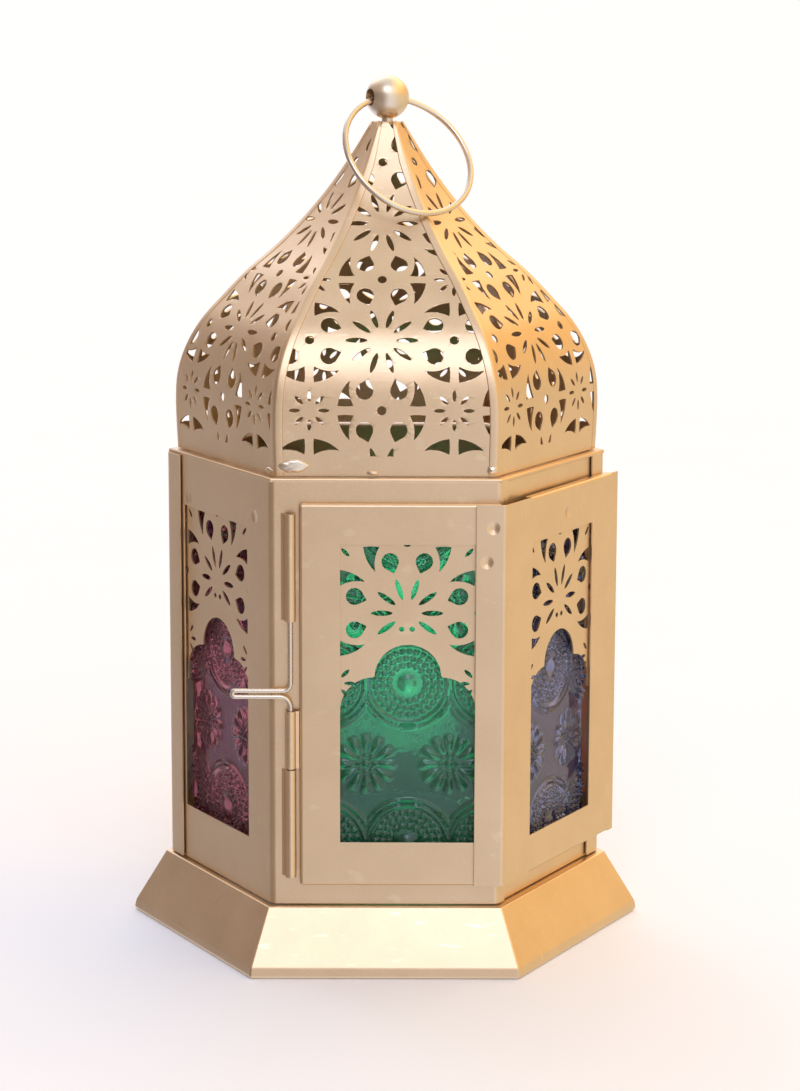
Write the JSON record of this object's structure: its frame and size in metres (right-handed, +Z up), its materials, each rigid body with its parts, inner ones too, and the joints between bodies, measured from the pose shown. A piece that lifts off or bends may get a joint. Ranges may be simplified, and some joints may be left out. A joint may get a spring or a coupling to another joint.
{
  "type": "candle lantern",
  "caption": "Hexagonal folded-sheet candle lantern with a flared base, pierced ogee dome, coloured glass windows, a hinged L-shaped door with a wire slide bolt, and a hanging ring.",
  "frame": {"origin": "centre of the base, on the surface the lantern stands on", "axes": "+Z up; -Y out of the door's broad front face; +X to the right seen from the front, towards the hinged corner"},
  "size_m": [0.1216, 0.1054, 0.2],
  "materials": {
    "gold_paint": "satin gold paint on folded sheet steel",
    "pale_wire": "pale gold lacquered wire",
    "old_brass": "darkened brass bead",
    "tinplate": "plain tinplate",
    "green_glass": "pressed glass",
    "rose_glass": "pressed glass",
    "blue_glass": "pressed glass"
  },
  "bodies": {
    "root": {"base_skirt": "gold_paint", "candle_cup": "tinplate", "cup_rivet": "pale_wire", "front_shell": "gold_paint", "right_back_panel": "gold_paint", "back_panel": "gold_paint", "left_back_panel": "gold_paint", "side_sill": "gold_paint", "side_lintel": "gold_paint", "roof_shoulder": "gold_paint", "hinge_upper_body_leaf": "gold_paint", "hinge_lower_body_leaf": "gold_paint", "hinge_upper_pin": "pale_wire", "hinge_lower_pin": "pale_wire", "latch_guide_upper": "gold_paint", "latch_guide_lower": "gold_paint", "dome_gore_front": "gold_paint", "dome_gore_right_front": "gold_paint", "dome_gore_right_back": "gold_paint", "dome_gore_back": "gold_paint", "dome_gore_left_back": "gold_paint", "dome_gore_left_front": "gold_paint", "fret_screen_right_back": "gold_paint", "fret_screen_back": "gold_paint", "fret_screen_left_back": "gold_paint", "fret_screen_left_front": "gold_paint", "glass_right_back": "rose_glass", "glass_back": "green_glass", "glass_left_back": "blue_glass", "glass_left_front": "rose_glass", "glass_clip_right_back": "gold_paint", "glass_clip_back": "gold_paint", "glass_clip_left_back": "gold_paint", "glass_clip_left_front": "gold_paint", "finial_ball": "old_brass", "finial_stud": "pale_wire"},
    "door": {"door_front_panel": "gold_paint", "door_side_panel": "gold_paint", "latch_keeper": "gold_paint", "hinge_upper_door_leaf": "gold_paint", "hinge_lower_door_leaf": "gold_paint", "fret_screen_front": "gold_paint", "fret_screen_right_front": "gold_paint", "glass_front": "green_glass", "glass_right_front": "blue_glass", "glass_clip_front": "gold_paint", "glass_clip_right_front": "gold_paint"},
    "bolt": {"latch_bolt": "pale_wire"},
    "ring": {"hanging_ring": "pale_wire"}
  },
  "joints": [
    {"name": "door_hinge", "type": "hinge", "parent": "root", "child": "door", "pos_m": [0.0525, 0.0013, 0], "axis": [0, 0, 1], "range_deg": [0, 150]},
    {"name": "bolt_slide", "type": "slide", "parent": "root", "child": "bolt", "axis": [0, 0, 1], "range_m": [0, 0.015]},
    {"name": "ring_swing", "type": "hinge", "parent": "root", "child": "ring", "pos_m": [0, 0, 0.19485], "axis": [-0.8581, -0.5135, 0], "range_deg": [0, 286]}
  ]
}
